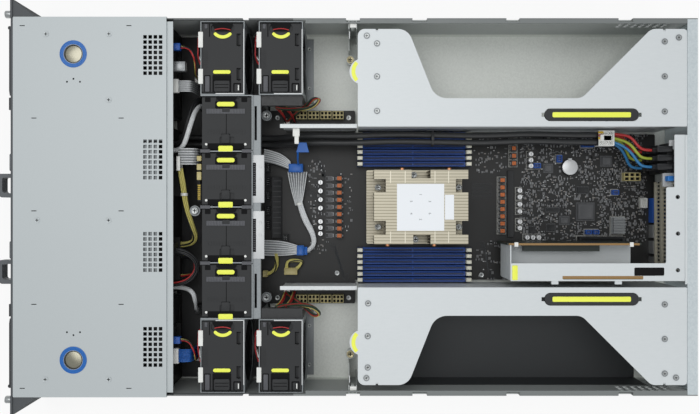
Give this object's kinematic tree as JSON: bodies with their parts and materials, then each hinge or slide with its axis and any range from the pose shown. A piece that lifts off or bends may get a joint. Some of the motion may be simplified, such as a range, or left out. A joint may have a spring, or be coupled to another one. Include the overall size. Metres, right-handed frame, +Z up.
{
  "type": "2u rack server",
  "caption": "Open two-unit rack server: sheet chassis with front drive trays and supplies, lift-out fans, finned processor heatsink and two lift-out accelerator cages.",
  "frame": {"origin": "centre of the overall box on the floor's underside", "axes": "+Z up, -Y out of the front, +X to the right when facing the rear from the front"},
  "size_m": [0.4826, 0.8184, 0.088],
  "materials": {
    "galvanised_steel": "zinc-coated sheet",
    "dark_steel": "dark powder coat",
    "cover_steel": "smooth coated sheet",
    "cage_steel": "bright zinc sheet",
    "board_green": "solder mask",
    "board_black": "black solder mask",
    "board_brown": "laminate edge",
    "slot_blue": "moulded",
    "heatsink_nickel": "nickel plated",
    "component_dark": "moulded packages",
    "screw_nickel": "nickel plated",
    "liner_black": "insulating film",
    "inlet_black": "moulded",
    "cable_black": "sheath",
    "wire_mixed": "insulated cores",
    "handle_plastic": "moulded",
    "button_chrome": "polished",
    "supply_case": "dark coated case",
    "tab_blue": "moulded",
    "tray_plastic": "moulded",
    "fan_plastic": "glass-filled moulding"
  },
  "bodies": {
    "root": {"chassis_tray": "galvanised_steel", "rear_panel": "galvanised_steel", "slot_covers": "galvanised_steel", "front_bay_frame": "dark_steel", "front_cover": "cover_steel", "rack_ears": "dark_steel", "backplanes": "board_green", "fan_cage": "galvanised_steel", "motherboard": "board_black", "dimm_slots": "slot_blue", "cpu_heatsink": "heatsink_nickel", "board_components": "component_dark", "fasteners": "screw_nickel", "air_baffles": "galvanised_steel", "cage_guides": "galvanised_steel", "lane_liner": "liner_black", "ac_inlets": "inlet_black", "ac_cables": "cable_black", "wiring": "wire_mixed"},
    "latch_button_left": {"latch_button_left": "button_chrome"},
    "latch_button_right": {"latch_button_right": "button_chrome"},
    "drive_tray_1": {"drive_tray_1": "tray_plastic"},
    "tray_lever_1": {"tray_lever_1": "tray_plastic"},
    "drive_tray_2": {"drive_tray_2": "tray_plastic"},
    "tray_lever_2": {"tray_lever_2": "tray_plastic"},
    "drive_tray_3": {"drive_tray_3": "tray_plastic"},
    "tray_lever_3": {"tray_lever_3": "tray_plastic"},
    "drive_tray_4": {"drive_tray_4": "tray_plastic"},
    "tray_lever_4": {"tray_lever_4": "tray_plastic"},
    "drive_tray_5": {"drive_tray_5": "tray_plastic"},
    "tray_lever_5": {"tray_lever_5": "tray_plastic"},
    "drive_tray_6": {"drive_tray_6": "tray_plastic"},
    "tray_lever_6": {"tray_lever_6": "tray_plastic"},
    "power_supply_left": {"power_supply_left": "supply_case"},
    "supply_tab_left": {"supply_tab_left": "tab_blue"},
    "power_supply_right": {"power_supply_right": "supply_case"},
    "supply_tab_right": {"supply_tab_right": "tab_blue"},
    "side_fan_1": {"side_fan_1": "fan_plastic"},
    "side_rotor_1": {"side_rotor_1": "fan_plastic"},
    "side_fan_2": {"side_fan_2": "fan_plastic"},
    "side_rotor_2": {"side_rotor_2": "fan_plastic"},
    "side_fan_3": {"side_fan_3": "fan_plastic"},
    "side_rotor_3": {"side_rotor_3": "fan_plastic"},
    "side_fan_4": {"side_fan_4": "fan_plastic"},
    "side_rotor_4": {"side_rotor_4": "fan_plastic"},
    "centre_fan_1": {"centre_fan_1": "fan_plastic"},
    "centre_rotor_1": {"centre_rotor_1": "fan_plastic"},
    "centre_fan_2": {"centre_fan_2": "fan_plastic"},
    "centre_rotor_2": {"centre_rotor_2": "fan_plastic"},
    "centre_fan_3": {"centre_fan_3": "fan_plastic"},
    "centre_rotor_3": {"centre_rotor_3": "fan_plastic"},
    "centre_fan_4": {"centre_fan_4": "fan_plastic"},
    "centre_rotor_4": {"centre_rotor_4": "fan_plastic"},
    "gpu_cage_left": {"gpu_cage_left": "cage_steel"},
    "cage_handle_left": {"cage_handle_left": "handle_plastic"},
    "gpu_cage_right": {"gpu_cage_right": "cage_steel"},
    "cage_handle_right": {"cage_handle_right": "handle_plastic"},
    "riser": {"riser_bracket": "cage_steel", "riser_cards": "board_brown"},
    "power_button": {"power_button": "handle_plastic"}
  },
  "joints": [
    {"name": "latch_button_left_slide", "type": "slide", "parent": "root", "child": "latch_button_left", "axis": [0, 0, -1], "range_m": [0, 0.002], "stiffness_N_per_m": 600, "springref_m": -0.003},
    {"name": "latch_button_right_slide", "type": "slide", "parent": "root", "child": "latch_button_right", "axis": [0, 0, -1], "range_m": [0, 0.002], "stiffness_N_per_m": 600, "springref_m": -0.003},
    {"name": "drive_tray_1_slide", "type": "slide", "parent": "root", "child": "drive_tray_1", "axis": [0, -1, 0], "range_m": [0, 0.15]},
    {"name": "tray_lever_1_hinge", "type": "hinge", "parent": "drive_tray_1", "child": "tray_lever_1", "pos_m": [-0.209, -0.39125, 0.0152], "axis": [0, 0, -1], "range_deg": [0, 65]},
    {"name": "drive_tray_2_slide", "type": "slide", "parent": "root", "child": "drive_tray_2", "axis": [0, -1, 0], "range_m": [0, 0.15]},
    {"name": "tray_lever_2_hinge", "type": "hinge", "parent": "drive_tray_2", "child": "tray_lever_2", "pos_m": [-0.209, -0.39125, 0.0422], "axis": [0, 0, -1], "range_deg": [0, 65]},
    {"name": "drive_tray_3_slide", "type": "slide", "parent": "root", "child": "drive_tray_3", "axis": [0, -1, 0], "range_m": [0, 0.15]},
    {"name": "tray_lever_3_hinge", "type": "hinge", "parent": "drive_tray_3", "child": "tray_lever_3", "pos_m": [-0.209, -0.39125, 0.0692], "axis": [0, 0, -1], "range_deg": [0, 65]},
    {"name": "drive_tray_4_slide", "type": "slide", "parent": "root", "child": "drive_tray_4", "axis": [0, -1, 0], "range_m": [0, 0.15]},
    {"name": "tray_lever_4_hinge", "type": "hinge", "parent": "drive_tray_4", "child": "tray_lever_4", "pos_m": [0.209, -0.39125, 0.0152], "axis": [0, 0, 1], "range_deg": [0, 65]},
    {"name": "drive_tray_5_slide", "type": "slide", "parent": "root", "child": "drive_tray_5", "axis": [0, -1, 0], "range_m": [0, 0.15]},
    {"name": "tray_lever_5_hinge", "type": "hinge", "parent": "drive_tray_5", "child": "tray_lever_5", "pos_m": [0.209, -0.39125, 0.0422], "axis": [0, 0, 1], "range_deg": [0, 65]},
    {"name": "drive_tray_6_slide", "type": "slide", "parent": "root", "child": "drive_tray_6", "axis": [0, -1, 0], "range_m": [0, 0.15]},
    {"name": "tray_lever_6_hinge", "type": "hinge", "parent": "drive_tray_6", "child": "tray_lever_6", "pos_m": [0.209, -0.39125, 0.0692], "axis": [0, 0, 1], "range_deg": [0, 65]},
    {"name": "power_supply_left_slide", "type": "slide", "parent": "root", "child": "power_supply_left", "axis": [0, -1, 0], "range_m": [0, 0.25]},
    {"name": "supply_tab_left_slide", "type": "slide", "parent": "power_supply_left", "child": "supply_tab_left", "axis": [-1, 0, 0], "range_m": [0, 0.0012], "stiffness_N_per_m": 800, "springref_m": -0.003},
    {"name": "power_supply_right_slide", "type": "slide", "parent": "root", "child": "power_supply_right", "axis": [0, -1, 0], "range_m": [0, 0.25]},
    {"name": "supply_tab_right_slide", "type": "slide", "parent": "power_supply_right", "child": "supply_tab_right", "axis": [-1, 0, 0], "range_m": [0, 0.0012], "stiffness_N_per_m": 800, "springref_m": -0.003},
    {"name": "side_fan_1_slide", "type": "slide", "parent": "root", "child": "side_fan_1", "axis": [0, 0, 1], "range_m": [0, 0.1]},
    {"name": "side_rotor_1_spin", "type": "hinge", "parent": "side_fan_1", "child": "side_rotor_1", "pos_m": [-0.1734, -0.14245, 0.0435], "axis": [0, 1, 0], "continuous": true},
    {"name": "side_fan_2_slide", "type": "slide", "parent": "root", "child": "side_fan_2", "axis": [0, 0, 1], "range_m": [0, 0.1]},
    {"name": "side_rotor_2_spin", "type": "hinge", "parent": "side_fan_2", "child": "side_rotor_2", "pos_m": [-0.1734, -0.07465, 0.0435], "axis": [0, 1, 0], "continuous": true},
    {"name": "side_fan_3_slide", "type": "slide", "parent": "root", "child": "side_fan_3", "axis": [0, 0, 1], "range_m": [0, 0.1]},
    {"name": "side_rotor_3_spin", "type": "hinge", "parent": "side_fan_3", "child": "side_rotor_3", "pos_m": [0.1734, -0.14245, 0.0435], "axis": [0, 1, 0], "continuous": true},
    {"name": "side_fan_4_slide", "type": "slide", "parent": "root", "child": "side_fan_4", "axis": [0, 0, 1], "range_m": [0, 0.1]},
    {"name": "side_rotor_4_spin", "type": "hinge", "parent": "side_fan_4", "child": "side_rotor_4", "pos_m": [0.1734, -0.07465, 0.0435], "axis": [0, 1, 0], "continuous": true},
    {"name": "centre_fan_1_slide", "type": "slide", "parent": "root", "child": "centre_fan_1", "axis": [0, 0, 1], "range_m": [0, 0.1]},
    {"name": "centre_rotor_1_spin", "type": "hinge", "parent": "centre_fan_1", "child": "centre_rotor_1", "pos_m": [-0.0978, -0.13795, 0.0515], "axis": [0, 1, 0], "continuous": true},
    {"name": "centre_fan_2_slide", "type": "slide", "parent": "root", "child": "centre_fan_2", "axis": [0, 0, 1], "range_m": [0, 0.1]},
    {"name": "centre_rotor_2_spin", "type": "hinge", "parent": "centre_fan_2", "child": "centre_rotor_2", "pos_m": [-0.0326, -0.13795, 0.0515], "axis": [0, 1, 0], "continuous": true},
    {"name": "centre_fan_3_slide", "type": "slide", "parent": "root", "child": "centre_fan_3", "axis": [0, 0, 1], "range_m": [0, 0.1]},
    {"name": "centre_rotor_3_spin", "type": "hinge", "parent": "centre_fan_3", "child": "centre_rotor_3", "pos_m": [0.0326, -0.13795, 0.0515], "axis": [0, 1, 0], "continuous": true},
    {"name": "centre_fan_4_slide", "type": "slide", "parent": "root", "child": "centre_fan_4", "axis": [0, 0, 1], "range_m": [0, 0.1]},
    {"name": "centre_rotor_4_spin", "type": "hinge", "parent": "centre_fan_4", "child": "centre_rotor_4", "pos_m": [0.0978, -0.13795, 0.0515], "axis": [0, 1, 0], "continuous": true},
    {"name": "gpu_cage_left_slide", "type": "slide", "parent": "root", "child": "gpu_cage_left", "axis": [0, 0, 1], "range_m": [0, 0.11]},
    {"name": "cage_handle_left_slide", "type": "slide", "parent": "gpu_cage_left", "child": "cage_handle_left", "axis": [0, 0, 1], "range_m": [0, 0.012]},
    {"name": "gpu_cage_right_slide", "type": "slide", "parent": "root", "child": "gpu_cage_right", "axis": [0, 0, 1], "range_m": [0, 0.11]},
    {"name": "cage_handle_right_slide", "type": "slide", "parent": "gpu_cage_right", "child": "cage_handle_right", "axis": [0, 0, 1], "range_m": [0, 0.012]},
    {"name": "riser_slide", "type": "slide", "parent": "root", "child": "riser", "axis": [0, 0, 1], "range_m": [0, 0.1]},
    {"name": "power_button_slide", "type": "slide", "parent": "root", "child": "power_button", "axis": [0, 1, 0], "range_m": [0, 0.0015], "stiffness_N_per_m": 600, "springref_m": -0.003}
  ]
}
